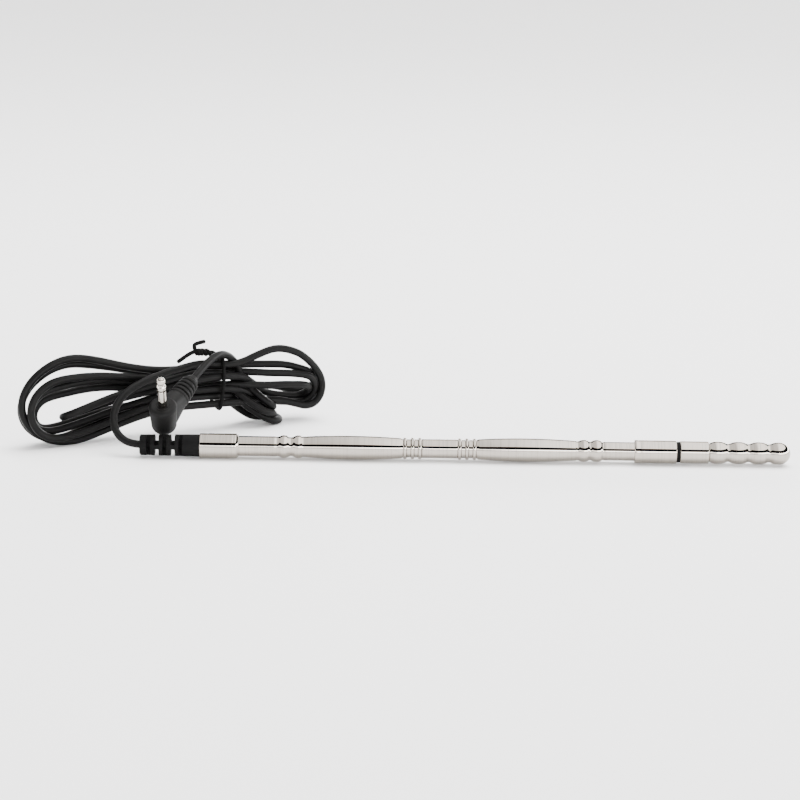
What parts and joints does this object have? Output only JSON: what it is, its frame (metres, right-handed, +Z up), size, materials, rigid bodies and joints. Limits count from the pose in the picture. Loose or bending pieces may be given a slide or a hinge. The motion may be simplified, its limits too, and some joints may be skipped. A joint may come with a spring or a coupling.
{
  "type": "two-contact probe wand",
  "caption": "Slim turned metal hand-held probe with a beaded tip behind an insulating ring, a rubber strain-relief boot and a tied captive lead ending in a right-angle jack plug.",
  "frame": {"origin": "centre of the wand's footprint (boot and metal parts) on the surface it lies on", "axes": "+X along the wand towards its beaded tip, +Y away from the front view to the side where the hank lies, +Z up"},
  "size_m": [0.2164, 0.0599, 0.0268],
  "materials": {
    "polished_nickel": "polished nickel plate, fine turning marks",
    "plug_nickel": "polished nickel plate",
    "boot_rubber": "matt moulded rubber",
    "plug_plastic": "satin moulded PVC",
    "cord_jacket": "satin extruded PVC jacket",
    "tie_plastic": "matt plastic-coated wire",
    "black_insulator": "satin turned acetal",
    "brass_hardware": "machined",
    "solder": "dull tin solder",
    "red_insulation": "extruded insulation",
    "white_insulation": "extruded insulation"
  },
  "bodies": {
    "root": {"strain_relief_boot": "boot_rubber", "rear_ferrule": "polished_nickel", "grip_body": "polished_nickel", "front_ferrule": "polished_nickel", "front_electrode": "polished_nickel", "insulating_bush": "black_insulator", "insulating_washer": "black_insulator", "stud_nut": "brass_hardware", "electrode_stud": "brass_hardware", "cord_in_boot": "cord_jacket", "cord_end_sleeve": "black_insulator", "tip_wire": "red_insulation", "tip_solder_cup": "solder", "ground_tag": "brass_hardware", "return_wire": "white_insulation", "return_solder_joint": "solder", "cord_hank": "cord_jacket", "lead_cord": "cord_jacket", "plug_tail_cord": "cord_jacket", "twist_tie": "tie_plastic", "plug_body": "plug_plastic", "plug_sleeve_contact": "plug_nickel", "plug_tip_contact": "plug_nickel", "plug_insulator": "black_insulator", "plug_tip_wire": "red_insulation", "plug_sleeve_wire": "white_insulation"}
  },
  "joints": []
}
